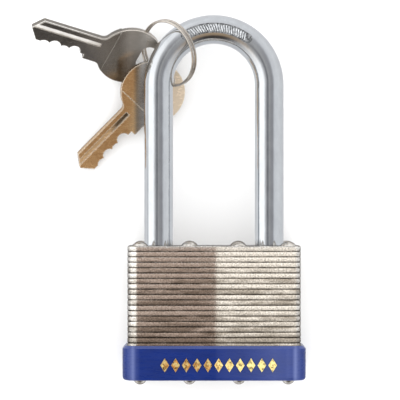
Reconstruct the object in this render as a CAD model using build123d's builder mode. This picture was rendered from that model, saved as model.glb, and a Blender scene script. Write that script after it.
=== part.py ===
from build123d import *

import os
from math import ceil, cos, pi, radians, sin, sqrt

os.makedirs("parts", exist_ok=True)

# A laminated padlock lying on its back, in millimetres.
# X runs across the body, Y up along the shackle and Z out of the front.
# The origin is the centre of the bumper's back face.

# Shackle
rod_diameter = 8.4
shackle_inside_width = 23.8
shackle_clear_height = 58.75
shackle_lift = 12.6
lift_stop_gap = 0.35
toe_rise_over_body = 0.5
toe_floor_gap = 0.25
leg_bore_clearance = 0.12
leg_end_chamfer = 0.9
panel_start_angle = 54.0
panel_arc = 66.0
panel_width = 2.9
panel_depth = 0.65
panel_outward_shift = 0.35
retaining_clip_thickness = 1.0
retaining_clip_groove = 0.8
retaining_clip_opening = 5.0
heel_tail = 1.2
heel_bore_room = 1.4
heel_clip_clearance = 0.3

# Lift spring under the heel
lift_wire = 0.9
lift_pitch = 2.6
lift_coil_inset = 0.85

# Stack of plates
plate_thickness = 1.55
floor_plate_count = 1
cylinder_plate_count = 14
separator_plate_count = 3
chamber_plate_count = 3
cap_plate_count = 4
body_side_wall = 3.3
body_depth = 24.0
plate_corner_radius = 3.0
plate_edge_chamfer = 0.22

# Rivets
rivet_columns = 4
rivet_diameter = 3.5
rivet_side_inset = 3.6
rivet_face_inset = 3.4
rivet_hole_clearance = 0.05
top_head_diameter = 4.7
top_head_height = 1.3
foot_head_diameter = 3.6
foot_head_height = 1.25

# Bumper
bumper_wall = 1.45
bumper_height = 10.0
bumper_gap = 0.05
bumper_shoulder_bevel = 0.8
bumper_foot_round = 1.1
bumper_rib_depth = 0.8
plates_under_rib_count = 3

# Locking dogs and cam
dog_engagement = 1.2
dog_travel = 5.0
dog_width = 5.9
dog_nose_radius = 1.5
dog_neck_length = 2.0
dog_clearance = 0.12
notch_gap = 0.15
cam_reach = 8.1
cam_nose_gap = 0.08
cam_room = 1.0

# Pin cylinder
plug_diameter = 11.0
plug_nose_diameter = 10.2
plug_nose_inset = 0.2
plug_tail_room = 3.2
plug_top_gap = 0.3
plug_running_clearance = 0.04
nose_clearance = 0.1
shell_wall = 1.6
shell_seat_gap = 0.05
tower_width = 7.0
tower_length = 7.4
keyway_width = 2.5
keyway_height = 8.0
keyway_offset = 0.2
ward_gap = 0.15
plug_clip_thickness = 0.8
plug_clip_groove = 0.9
plug_clip_lip = 0.8
plug_clip_opening = 5.0
clip_gap = 0.05

# Pins
pin_count = 4
pin_pitch = 3.1
pin_diameter = 2.6
pin_clearance = 0.05
pin_tip_height = 0.8
shear_gap = 0.2
driver_gap = 0.08
driver_length = 4.0
pin_spring_wall = 0.35
chamber_cover_thickness = 0.8
chamber_cover_width = 4.4
chamber_cover_end_lap = 1.6

# Tailpiece
tail_width = 3.6
tail_thickness = 1.2
tail_slot_depth = 2.0
tail_clearance = 0.04
tail_hole_gap = 0.5
tail_top_gap = 0.4

# Keys
key_thickness = 2.0
bow_thickness = 1.4
key_stop_from_bow = 12.8
key_blade_length = 18.2
key_blade_back = 3.1
key_blade_front = 3.7
key_stop_height = 5.2
key_tip_slant = 2.6
key_tip_height = 0.3
key_neck_round = 2.0
key_groove_lead = 3.2
bow_length = 18.8
bow_width = 19.4
bow_step_from_centre = 5.8
key_hole_from_bow = 5.15
key_hole_side_shift = 1.2
key_hole_length = 5.0
key_hole_width = 8.4
key_hole_round = 2.4
key_groove_width = 1.3
key_groove_depth = 0.5
key_groove_back = 1.0
key_first_cut = 3.3
key_cut_radius = 1.9
key_cut_depths = (1.9, 0.9, 1.6, 0.7)

# Split key ring, tilted so that it passes over the crown and under the leg
ring_wire = 0.75
ring_pitch = 1.17
ring_jog = 40.0
ring_jog_place = 140.0
ring_room = 5.52
ring_tilt = 44.71
ring_azimuth = 203.28
ring_inset = 2.94
ring_rise = 9.25
ring_sink = 1.16

# How each key hangs on the ring: where its hole sits, which way it points, its slope and its roll
key_hangs = {
    "key_1": {
        "ring_angle": 78.6,
        "outset": -0.48,
        "lift": 0.0,
        "yaw": 163.6,
        "slope": -21.1,
        "roll": -36.5,
    },
    "key_2": {
        "ring_angle": 125.8,
        "outset": -0.62,
        "lift": -1.06,
        "yaw": -134.9,
        "slope": 5.9,
        "roll": -21.7,
    },
}

# Worked out from the sizes above
rod_radius = rod_diameter / 2
leg_x = shackle_inside_width / 2 + rod_radius
heel_bore_radius = rod_radius + heel_bore_room
leg_bore_radius = rod_radius + leg_bore_clearance
body_width = 2 * (leg_x + heel_bore_radius + body_side_wall)
mid_z = body_depth / 2 + bumper_wall
body_bottom = -bumper_height / 2

cylinder_floor = floor_plate_count * plate_thickness
cylinder_roof = cylinder_floor + cylinder_plate_count * plate_thickness
chamber_floor = cylinder_roof + separator_plate_count * plate_thickness
chamber_roof = chamber_floor + chamber_plate_count * plate_thickness
body_height = chamber_roof + cap_plate_count * plate_thickness
plate_count = (
    floor_plate_count
    + cylinder_plate_count
    + separator_plate_count
    + chamber_plate_count
    + cap_plate_count
)
spring_floor = cylinder_floor + plate_thickness
heel_shoulder = chamber_floor - plate_thickness

clip_top = heel_shoulder - shackle_lift - lift_stop_gap
clip_foot = clip_top - retaining_clip_thickness
heel_end = clip_foot - heel_tail
toe_end = body_height - shackle_lift + toe_rise_over_body
crown_y = body_bottom + body_height + shackle_clear_height - shackle_inside_width / 2

plug_radius = plug_diameter / 2
shell_radius = plug_radius + shell_wall
tower_end = shell_radius + tower_length
shell_foot = cylinder_floor + shell_seat_gap
shell_top = cylinder_roof - plug_tail_room
plug_top = cylinder_roof - plug_top_gap
keyway_top = plug_nose_inset + key_blade_length + clip_gap
pin_radius = pin_diameter / 2
pin_levels = [plug_nose_inset + key_first_cut + pin_pitch * i for i in range(pin_count)]

dog_foot = chamber_floor + dog_clearance
dog_top = chamber_roof - dog_clearance
dog_tip = leg_x - rod_radius + dog_engagement
bevel_slope = shackle_lift / dog_travel
bevel_rise = dog_engagement * bevel_slope
cam_rate = dog_travel / (pi / 2)
cam_offset = dog_nose_radius + cam_nose_gap
chamber_radius = cam_reach - dog_nose_radius + cam_room
tail_hole_radius = tail_width / 2 + tail_hole_gap

rivet_x = body_width / 2 - rivet_side_inset
rivet_z = body_depth / 2 - rivet_face_inset
rivet_pitch = 2 * rivet_x / (rivet_columns - 1)


def level(height):
    """A plane across the stack, facing up the shackle, at a height above the body's underside."""
    return Plane(origin=(0, body_bottom + height, mid_z), x_dir=(1, 0, 0), z_dir=(0, 1, 0))


def beside(height, x=0.0):
    """A plane along the stack, facing out of the front, with its origin on the mid plane."""
    return Plane(origin=(x, body_bottom + height, mid_z), x_dir=(1, 0, 0), z_dir=(0, 0, 1))


def pin_plane(height, reach):
    """A plane facing the plug's axis from the pin side, at a distance from that axis."""
    return Plane(origin=(-reach, body_bottom + height, mid_z), x_dir=(0, 1, 0), z_dir=(1, 0, 0))


def save(piece, name):
    """Label a finished piece and write it to its own file."""
    piece.part.label = name
    export_step(piece.part, f"parts/{name}.step")


def rivet_places():
    """Centres of one row's rivets along X."""
    return [rivet_pitch * (i - (rivet_columns - 1) / 2) for i in range(rivet_columns)]


# Plates of the stack, from the bottom plate to the top plate
def plate_name(number):
    """The bottom and the top plate have names of their own."""
    if number == 1:
        return "bottom_plate"
    if number == plate_count:
        return "top_plate"
    return f"plate_{number:02d}"


for number in range(1, plate_count + 1):
    foot = (number - 1) * plate_thickness
    head = number * plate_thickness
    middle = (foot + head) / 2
    waist = bumper_rib_depth if number - 1 == plates_under_rib_count else 0.0
    with BuildPart() as plate:
        with BuildSketch(level(foot)):
            RectangleRounded(body_width - 2 * waist, body_depth - 2 * waist, plate_corner_radius)
            if number in (1, plate_count):
                with Locations([(x, z) for x in rivet_places() for z in (-rivet_z, rivet_z)]):
                    Circle(rivet_diameter / 2 + rivet_hole_clearance, mode=Mode.SUBTRACT)
            if middle < cylinder_floor:
                Circle(plug_nose_diameter / 2 + nose_clearance, mode=Mode.SUBTRACT)
            elif middle < cylinder_roof:
                Circle(shell_radius + shell_seat_gap, mode=Mode.SUBTRACT)
                with Locations((-tower_end / 2, 0)):
                    Rectangle(
                        tower_end + 2 * shell_seat_gap,
                        tower_width + 2 * shell_seat_gap,
                        mode=Mode.SUBTRACT,
                    )
            elif middle < chamber_floor:
                Circle(tail_hole_radius, mode=Mode.SUBTRACT)
            elif middle < chamber_roof:
                Circle(chamber_radius, mode=Mode.SUBTRACT)
                Rectangle(2 * leg_x, dog_width + 2 * dog_clearance, mode=Mode.SUBTRACT)
            if spring_floor < middle < heel_shoulder:
                with Locations((leg_x, 0)):
                    Circle(heel_bore_radius, mode=Mode.SUBTRACT)
            if middle > heel_shoulder:
                with Locations((leg_x, 0)):
                    Circle(leg_bore_radius, mode=Mode.SUBTRACT)
            if head > toe_end - toe_floor_gap:
                with Locations((-leg_x, 0)):
                    Circle(leg_bore_radius, mode=Mode.SUBTRACT)
        extrude(amount=plate_thickness)
        flats = plate.faces().sort_by(Axis.Y)
        rims = flats[0].outer_wire().edges() + flats[-1].outer_wire().edges()
        chamfer(rims, length=plate_edge_chamfer)
    save(plate, plate_name(number))

# Bumper: a moulded band round the foot of the stack, held by a rib in the waisted plate
with BuildPart() as bumper:
    with BuildSketch(level(0)):
        RectangleRounded(
            body_width + 2 * bumper_wall,
            body_depth + 2 * bumper_wall,
            plate_corner_radius + bumper_wall,
        )
    extrude(amount=bumper_height)
    chamfer(bumper.faces().sort_by(Axis.Y)[-1].edges(), length=bumper_shoulder_bevel)
    fillet(bumper.faces().sort_by(Axis.Y)[0].edges(), radius=bumper_foot_round)
    with BuildSketch(level(0)):
        RectangleRounded(
            body_width + 2 * bumper_gap,
            body_depth + 2 * bumper_gap,
            plate_corner_radius + bumper_gap,
        )
    extrude(amount=bumper_height, mode=Mode.SUBTRACT)
    with BuildSketch(level(plates_under_rib_count * plate_thickness + bumper_gap)):
        RectangleRounded(
            body_width + bumper_wall,
            body_depth + bumper_wall,
            plate_corner_radius + bumper_wall / 2,
        )
        RectangleRounded(
            body_width - 2 * bumper_rib_depth + 2 * bumper_gap,
            body_depth - 2 * bumper_rib_depth + 2 * bumper_gap,
            plate_corner_radius + bumper_gap,
            mode=Mode.SUBTRACT,
        )
    extrude(amount=plate_thickness - 2 * bumper_gap)
save(bumper, "bumper")


# Rivets: a dome upset at each end of the stack, with its shank through the end plate
shank_radius = rivet_diameter / 2
rivet_ends = (
    (body_height, 1, top_head_diameter / 2, top_head_height),
    (0.0, -1, foot_head_diameter / 2, foot_head_height),
)
for row, side in (("front_rivets", 1), ("back_rivets", -1)):
    with BuildPart() as rivets:
        for x in rivet_places():
            for height, facing, head_radius, head_height in rivet_ends:
                place = (x, body_bottom + height, mid_z + side * rivet_z)
                with BuildSketch(Plane(origin=place, x_dir=(1, 0, 0), z_dir=(0, 0, facing))):
                    with BuildLine():
                        TangentArc((0, head_height), (head_radius, 0), tangent=(1, 0))
                        Polyline(
                            (head_radius, 0),
                            (shank_radius, 0),
                            (shank_radius, -plate_thickness),
                            (0, -plate_thickness),
                            (0, head_height),
                        )
                    make_face()
                revolve(axis=Axis(place, (0, 1, 0)))
    save(rivets, row)

# Shackle: one bent rod, notched for the dogs, grooved for its clip, with a stamped panel on the crown
notch_tip = dog_tip + notch_gap
notch_mouth = leg_x - rod_radius - notch_gap
notch_drop = notch_gap * sqrt(1 + bevel_slope**2)
notch_bevel_top = dog_foot + bevel_rise - notch_drop + notch_gap * bevel_slope
notch_bevel_foot = notch_bevel_top - (notch_tip - notch_mouth) * bevel_slope
groove_radius = rod_radius - retaining_clip_groove

with BuildPart() as shackle:
    with BuildLine(Plane.XY.offset(mid_z)) as rod_line:
        Line((leg_x, body_bottom + heel_end), (leg_x, crown_y))
        ThreePointArc((leg_x, crown_y), (0, crown_y + leg_x), (-leg_x, crown_y))
        Line((-leg_x, crown_y), (-leg_x, body_bottom + toe_end))
    with BuildSketch(level(heel_end)):
        with Locations((leg_x, 0)):
            Circle(rod_radius)
    sweep(path=rod_line.line)
    leg_ends = shackle.faces().filter_by(GeomType.PLANE)
    chamfer(leg_ends.edges(), length=leg_end_chamfer)
    for side in (1, -1):
        with BuildSketch(beside(0)):
            with BuildLine():
                Polyline(
                    (side * notch_mouth, dog_top + notch_gap),
                    (side * notch_tip, dog_top + notch_gap),
                    (side * notch_tip, notch_bevel_top),
                    (side * notch_mouth, notch_bevel_foot),
                    close=True,
                )
            make_face()
        extrude(amount=rod_diameter, both=True, mode=Mode.SUBTRACT)
    with BuildSketch(level(clip_foot - clip_gap)):
        with Locations((leg_x, 0)):
            Circle(rod_diameter)
            Circle(groove_radius, mode=Mode.SUBTRACT)
    extrude(amount=retaining_clip_thickness + 2 * clip_gap, mode=Mode.SUBTRACT)
    with BuildSketch(Plane.XY.offset(mid_z + rod_radius - panel_depth)):
        with BuildLine() as panel_line:
            CenterArc((0, crown_y), leg_x + panel_outward_shift, panel_start_angle, panel_arc)
        SlotArc(panel_line.edge(), panel_width)
    extrude(amount=rod_diameter, mode=Mode.SUBTRACT)
save(shackle, "shackle")

# Retaining clip on the heel, which stops the lift under the shoulder
with BuildPart() as shackle_clip:
    with BuildSketch(level(clip_foot)):
        with Locations((leg_x, 0)):
            Circle(heel_bore_radius - heel_clip_clearance)
            Circle(groove_radius + clip_gap, mode=Mode.SUBTRACT)
        with Locations((leg_x, -rod_diameter / 2)):
            Rectangle(retaining_clip_opening, rod_diameter, mode=Mode.SUBTRACT)
    extrude(amount=retaining_clip_thickness)
save(shackle_clip, "shackle_clip")


# Wound wire: two tangent arcs from each place on it to the next
def turn_place(base, axis, first, radius, height, angle, climb):
    """A point of a winding, and the wire's direction there for a climb per radian."""
    second = axis.cross(first)
    point = base + (first * cos(angle) + second * sin(angle)) * radius + axis * height
    along = (second * cos(angle) - first * sin(angle)) * radius + axis * climb
    return point, along.normalized()


def join_places(places):
    """Add two tangent arcs between each pair of neighbouring places to the line being built."""
    for (start, leave), (end, arrive) in zip(places, places[1:]):
        chord = end - start
        a = 2 * (leave.dot(arrive) - 1)
        b = -2 * chord.dot(leave + arrive)
        c = chord.dot(chord)
        arm = (-b - sqrt(b * b - 4 * a * c)) / (2 * a)
        first_corner = start + leave * arm
        second_corner = end - arrive * arm
        joint = (first_corner + second_corner) * 0.5
        TangentArc(start, joint, tangent=leave)
        TangentArc(joint, end, tangent=(second_corner - first_corner).normalized())


def least_gap(path, wire):
    """The smallest gap between a wound wire and itself, measured on points along it."""
    count = ceil(path.length / wire)
    points = path.positions([i / count for i in range(count + 1)])
    same_stretch = 6
    return min((p - q).length for i, p in enumerate(points) for q in points[i + same_stretch :]) - wire


# Lift spring, standing on the second plate under the heel
lift_radius = heel_bore_radius - lift_coil_inset - lift_wire / 2
lift_base = Vector(leg_x, body_bottom + spring_floor + lift_wire / 2 + clip_gap, mid_z)
lift_room = heel_end - spring_floor - lift_wire - 2 * clip_gap
lift_steps = ceil(2 * lift_room / lift_pitch)
lift_climb = lift_pitch / (2 * pi)
lift_angles = [lift_room / lift_climb * i / lift_steps for i in range(lift_steps + 1)]
lift_up = Vector(0, 1, 0)
lift_first = Vector(1, 0, 0)
lift_places = [
    turn_place(lift_base, lift_up, lift_first, lift_radius, lift_climb * angle, angle, lift_climb)
    for angle in lift_angles
]
with BuildPart() as shackle_spring:
    with BuildLine() as lift_line:
        join_places(lift_places)
    with BuildSketch(Plane(origin=lift_places[0][0], z_dir=lift_places[0][1])):
        Circle(lift_wire / 2)
    sweep(path=lift_line.line)
save(shackle_spring, "shackle_spring")
print("lift spring, least gap between turns:", round(least_gap(lift_line.wire(), lift_wire), 3))

# Locking dogs: a bevelled tip for the notch, a round nose on the cam
for name, side in (("heel_dog", 1), ("toe_dog", -1)):
    neck_end = cam_reach + dog_neck_length
    with BuildPart() as dog:
        with BuildSketch(level(dog_foot)):
            with Locations((side * cam_reach, 0)):
                Circle(dog_nose_radius)
            with Locations((side * (cam_reach + neck_end) / 2, 0)):
                Rectangle(neck_end - cam_reach, 2 * dog_nose_radius)
            with Locations((side * (neck_end + dog_tip) / 2, 0)):
                Rectangle(dog_tip - neck_end, dog_width)
        extrude(amount=dog_top - dog_foot)
        with BuildSketch(beside(dog_foot)):
            with BuildLine():
                Polyline(
                    (side * dog_tip, bevel_rise),
                    (side * (dog_tip - dog_engagement), 0),
                    (side * dog_tip, 0),
                    close=True,
                )
            make_face()
        extrude(amount=dog_width, both=True, mode=Mode.SUBTRACT)
    save(dog, name)


# Cam: two lobes, each an even spiral that lets its dog in as the plug turns
def cam_point(turn, lobe):
    """A point of the cam's edge under the dog's nose after a turn, on one of the two lobes."""
    reach = cam_reach - cam_rate * turn
    heading = -turn + lobe * pi
    length = sqrt(reach**2 + cam_rate**2)
    radial = reach - cam_offset * reach / length
    across = cam_offset * cam_rate / length
    return (
        radial * cos(heading) - across * sin(heading),
        radial * sin(heading) + across * cos(heading),
    )


def cam_seat(lobe, angle):
    """A point of the hollow that takes the dog's nose at the end of the turn."""
    heading = -pi / 2 + lobe * pi
    reach = cam_reach - dog_travel
    return (
        reach * cos(heading) + cam_offset * cos(heading + angle),
        reach * sin(heading) + cam_offset * sin(heading + angle),
    )


cam_steps = 6
with BuildPart() as cam:
    with BuildSketch(level(dog_foot)):
        with BuildLine():
            for lobe in (0, 1):
                spiral = [cam_point(pi / 2 * i / cam_steps, lobe) for i in range(cam_steps + 1)]
                seat_start = cam_point(pi / 2, lobe)
                seat_end = cam_seat(lobe, -3 * pi / 4)
                Spline(spiral)
                ThreePointArc(seat_start, cam_seat(lobe, pi), seat_end)
                Line(seat_end, cam_point(0, 1 - lobe))
        make_face()
        Rectangle(tail_width + 2 * tail_clearance, tail_thickness + 2 * tail_clearance, mode=Mode.SUBTRACT)
    extrude(amount=dog_top - dog_foot)
save(cam, "cam")

# Tailpiece: a flat bar that carries the plug's turn up to the cam
tail_foot = plug_top - tail_slot_depth
with BuildPart() as tailpiece:
    with BuildSketch(level(tail_foot)):
        Rectangle(tail_width, tail_thickness)
    extrude(amount=chamber_roof - tail_top_gap - tail_foot)
save(tailpiece, "tailpiece")

# Cylinder shell: a bored barrel with a tower for the pins
cover_foot = pin_levels[0] - chamber_cover_end_lap
cover_head = pin_levels[-1] + chamber_cover_end_lap
with BuildPart() as cylinder_shell:
    with BuildSketch(level(shell_foot)):
        Circle(shell_radius)
        with Locations((-tower_end / 2, 0)):
            Rectangle(tower_end, tower_width)
        Circle(plug_radius + plug_running_clearance, mode=Mode.SUBTRACT)
    extrude(amount=shell_top - shell_foot)
    for height in pin_levels:
        with BuildSketch(pin_plane(height, tower_end)):
            Circle(pin_radius + pin_clearance)
        extrude(amount=tower_end - plug_radius / 2, mode=Mode.SUBTRACT)
    with BuildSketch(pin_plane((cover_foot + cover_head) / 2, tower_end)):
        Rectangle(
            cover_head - cover_foot + 2 * clip_gap,
            chamber_cover_width + 2 * clip_gap,
        )
    extrude(amount=chamber_cover_thickness + clip_gap, mode=Mode.SUBTRACT)
save(cylinder_shell, "cylinder_shell")

# Cover strip over the pin chambers
with BuildPart() as chamber_cover:
    with BuildSketch(pin_plane((cover_foot + cover_head) / 2, tower_end)):
        Rectangle(cover_head - cover_foot, chamber_cover_width)
    extrude(amount=chamber_cover_thickness)
save(chamber_cover, "chamber_cover")

# Plug: a shouldered barrel with its warded keyway, pin holes, clip groove and tail slot
clip_seat = shell_top + clip_gap
keyway_back = keyway_offset + keyway_height / 2
ward_width = key_groove_width - 2 * ward_gap
ward_depth = (keyway_width - key_thickness) / 2 + key_groove_depth - ward_gap
plug_groove_radius = plug_radius - plug_clip_groove
with BuildPart() as plug:
    with BuildSketch(level(plug_nose_inset)):
        Circle(plug_nose_diameter / 2)
    extrude(amount=shell_foot - plug_nose_inset)
    with BuildSketch(level(shell_foot)):
        Circle(plug_radius)
    extrude(amount=plug_top - shell_foot)
    with BuildSketch(level(clip_seat)):
        Circle(plug_diameter)
        Circle(plug_groove_radius, mode=Mode.SUBTRACT)
    extrude(amount=plug_clip_thickness + clip_gap, mode=Mode.SUBTRACT)
    with BuildSketch(level(plug_nose_inset)):
        with Locations((keyway_offset, 0)):
            Rectangle(keyway_height, keyway_width)
        for side in (1, -1):
            ward_place = keyway_back - key_blade_back + side * key_groove_back
            with Locations((ward_place, -side * keyway_width / 2)):
                Rectangle(ward_width, 2 * ward_depth, mode=Mode.SUBTRACT)
    extrude(amount=keyway_top - plug_nose_inset, mode=Mode.SUBTRACT)
    for height in pin_levels:
        with BuildSketch(pin_plane(height, plug_diameter)):
            Circle(pin_radius + pin_clearance)
        extrude(amount=plug_diameter, mode=Mode.SUBTRACT)
    with BuildSketch(level(tail_foot)):
        Rectangle(tail_width + 2 * tail_clearance, tail_thickness + 2 * tail_clearance)
    extrude(amount=plug_top - tail_foot, mode=Mode.SUBTRACT)
save(plug, "plug")

# Clip that holds the plug in its shell
with BuildPart() as plug_clip:
    with BuildSketch(level(clip_seat)):
        Circle(plug_radius + plug_clip_lip)
        Circle(plug_groove_radius + clip_gap, mode=Mode.SUBTRACT)
        with Locations((0, plug_radius)):
            Rectangle(plug_clip_opening, plug_diameter, mode=Mode.SUBTRACT)
    extrude(amount=plug_clip_thickness)
save(plug_clip, "plug_clip")

# Key pins, cut to different lengths and set at the shear line, with pointed tips
shear_line = plug_radius - shear_gap
key_cut_line = keyway_back - key_blade_back - key_blade_front
for i, height in enumerate(pin_levels):
    pin_length = shear_line + key_cut_line + key_cut_depths[i]
    with BuildPart() as key_pin:
        with BuildSketch(pin_plane(height, shear_line)):
            Circle(pin_radius)
        extrude(amount=pin_length)
        chamfer(
            key_pin.faces().sort_by(Axis.X)[-1].edges(),
            length=pin_tip_height,
        )
    save(key_pin, f"key_pin_{i + 1}")

# Driver pins and their springs, one solid for each chamber
driver_end = plug_radius + driver_gap
with BuildPart() as driver_pins:
    for height in pin_levels:
        with BuildSketch(pin_plane(height, driver_end + driver_length)):
            Circle(pin_radius)
        extrude(amount=driver_length)
save(driver_pins, "driver_pins")

spring_seat = tower_end - chamber_cover_thickness - 2 * clip_gap
with BuildPart() as pin_springs:
    for height in pin_levels:
        with BuildSketch(pin_plane(height, spring_seat)):
            Circle(pin_radius - clip_gap)
            Circle(pin_radius - clip_gap - pin_spring_wall, mode=Mode.SUBTRACT)
        extrude(amount=spring_seat - driver_end - driver_length - clip_gap)
save(pin_springs, "pin_springs")

# Split key ring: two flat turns of wire, with a jog from the one to the other
ring_radius = rod_radius + ring_room
ring_centre = Vector(-leg_x + ring_inset, crown_y + ring_rise, mid_z - ring_sink)
ring_normal = Vector(
    sin(radians(ring_tilt)) * cos(radians(ring_azimuth)),
    sin(radians(ring_tilt)) * sin(radians(ring_azimuth)),
    cos(radians(ring_tilt)),
)
ring_level = ring_normal.cross(Vector(0, 0, 1)).normalized()
ring_steps = 2
ring_sweep = radians(360 - ring_jog) / ring_steps
ring_places = []
for turn, height in ((0, -ring_pitch / 2), (1, ring_pitch / 2)):
    for i in range(ring_steps + 1):
        angle = radians(ring_jog_place + ring_jog / 2) + 2 * pi * turn + ring_sweep * i
        ring_places.append(turn_place(ring_centre, ring_normal, ring_level, ring_radius, height, angle, 0))
with BuildPart() as key_ring:
    with BuildLine() as ring_line:
        join_places(ring_places)
    with BuildSketch(Plane(origin=ring_places[0][0], z_dir=ring_places[0][1])):
        Circle(ring_wire / 2)
    sweep(path=ring_line.line)
save(key_ring, "key_ring")
print("key ring, least gap between turns:", round(least_gap(ring_line.wire(), ring_wire), 3))


# Keys: one blank with a slotted bow, cut alike, each hung on the ring in its own way
def key_plane(hang):
    """The plane of a key: its origin at the bow's centre, its x towards the tip."""
    yaw = radians(hang["yaw"])
    slope = radians(hang["slope"])
    roll = radians(hang["roll"])
    tipward = Vector(cos(yaw) * cos(slope), sin(yaw) * cos(slope), -sin(slope))
    level_side = Vector(-sin(yaw), cos(yaw), 0)
    side = level_side * cos(roll) + tipward.cross(level_side) * sin(roll)
    angle = radians(hang["ring_angle"])
    hole, _ = turn_place(
        ring_centre, ring_normal, ring_level, ring_radius + hang["outset"], hang["lift"], angle, 0
    )
    bow_centre = hole + tipward * key_hole_from_bow + side * key_hole_side_shift
    return Plane(origin=bow_centre, x_dir=tipward, z_dir=tipward.cross(side))


key_tip = key_stop_from_bow + key_blade_length
key_shank_start = key_stop_from_bow - key_groove_lead
for name, hang in key_hangs.items():
    face = key_plane(hang)
    with BuildPart() as key:
        with BuildSketch(face) as outline:
            Ellipse(bow_length / 2, bow_width / 2)
            with BuildLine():
                Polyline(
                    (0, -key_blade_back),
                    (key_tip - key_tip_slant, -key_blade_back),
                    (key_tip, key_tip_height),
                    (key_tip - key_tip_slant, key_blade_front),
                    (key_stop_from_bow, key_blade_front),
                    (key_stop_from_bow, key_stop_height),
                    (0, key_stop_height),
                    close=True,
                )
            make_face()
            necks = outline.vertices().filter_by_position(Axis.X, bow_length / 4, bow_length / 2)
            fillet(necks, radius=key_neck_round)
            for i, depth in enumerate(key_cut_depths):
                place = key_stop_from_bow + key_first_cut + pin_pitch * i
                with Locations((place, key_blade_front - depth + key_cut_radius)):
                    Circle(key_cut_radius, mode=Mode.SUBTRACT)
            with Locations((-key_hole_from_bow, -key_hole_side_shift)):
                RectangleRounded(key_hole_length, key_hole_width, key_hole_round, mode=Mode.SUBTRACT)
        extrude(amount=key_thickness / 2, both=True)
        for side in (1, -1):
            with BuildSketch(face.offset(side * bow_thickness / 2)):
                with Locations((bow_step_from_centre - bow_length / 2, 0)):
                    Rectangle(bow_length, 2 * bow_width)
            extrude(amount=side * key_thickness, mode=Mode.SUBTRACT)
            with BuildSketch(face.offset(side * (key_thickness / 2 - key_groove_depth))):
                with Locations(((key_shank_start + key_tip) / 2, -side * key_groove_back)):
                    Rectangle(key_tip - key_shank_start, key_groove_width)
            extrude(amount=side * key_thickness, mode=Mode.SUBTRACT)
    save(key, name)
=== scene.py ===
"""Looks of the laminated padlock: finishes, crown ribs, bumper lozenges, floor, light and camera."""

import math

import bpy
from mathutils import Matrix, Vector


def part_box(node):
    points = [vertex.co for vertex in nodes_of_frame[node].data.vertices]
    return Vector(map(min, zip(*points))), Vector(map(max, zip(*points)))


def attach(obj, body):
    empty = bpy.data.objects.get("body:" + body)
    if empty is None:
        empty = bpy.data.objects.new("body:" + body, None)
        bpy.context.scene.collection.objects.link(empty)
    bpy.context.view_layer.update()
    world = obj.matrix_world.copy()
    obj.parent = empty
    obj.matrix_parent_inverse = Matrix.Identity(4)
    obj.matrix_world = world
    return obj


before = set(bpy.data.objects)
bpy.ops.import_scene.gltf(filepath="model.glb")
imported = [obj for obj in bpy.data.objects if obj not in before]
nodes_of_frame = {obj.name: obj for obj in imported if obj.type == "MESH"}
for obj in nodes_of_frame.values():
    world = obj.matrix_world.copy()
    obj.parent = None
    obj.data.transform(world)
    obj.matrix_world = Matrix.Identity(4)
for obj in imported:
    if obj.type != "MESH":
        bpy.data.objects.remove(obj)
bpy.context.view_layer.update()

bl_info = {
    "name": "Laminated Padlock",
    "version": (1, 0, 0),
    "blender": (4, 5, 0),
    "location": "3D View > Sidebar > Padlock",
    "description": "Finishes, trim and studio for a laminated padlock with its keys",
    "category": "Object",
}

stack_low, stack_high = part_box("plate_12")
bumper_low, bumper_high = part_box("bumper")
shackle_low, shackle_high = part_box("shackle")
plate_low, plate_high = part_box("plate_02")
front_height = stack_high.z
stack_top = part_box("top_plate")[1].y
plate_pitch = plate_high.y - plate_low.y
rod_radius = (shackle_high.z - shackle_low.z) / 2
rod_height = (shackle_high.z + shackle_low.z) / 2
crown_radius = (shackle_high.x - shackle_low.x) / 2 - rod_radius
crown_centre = Vector((0.0, shackle_high.y - crown_radius - rod_radius, rod_height))


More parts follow.
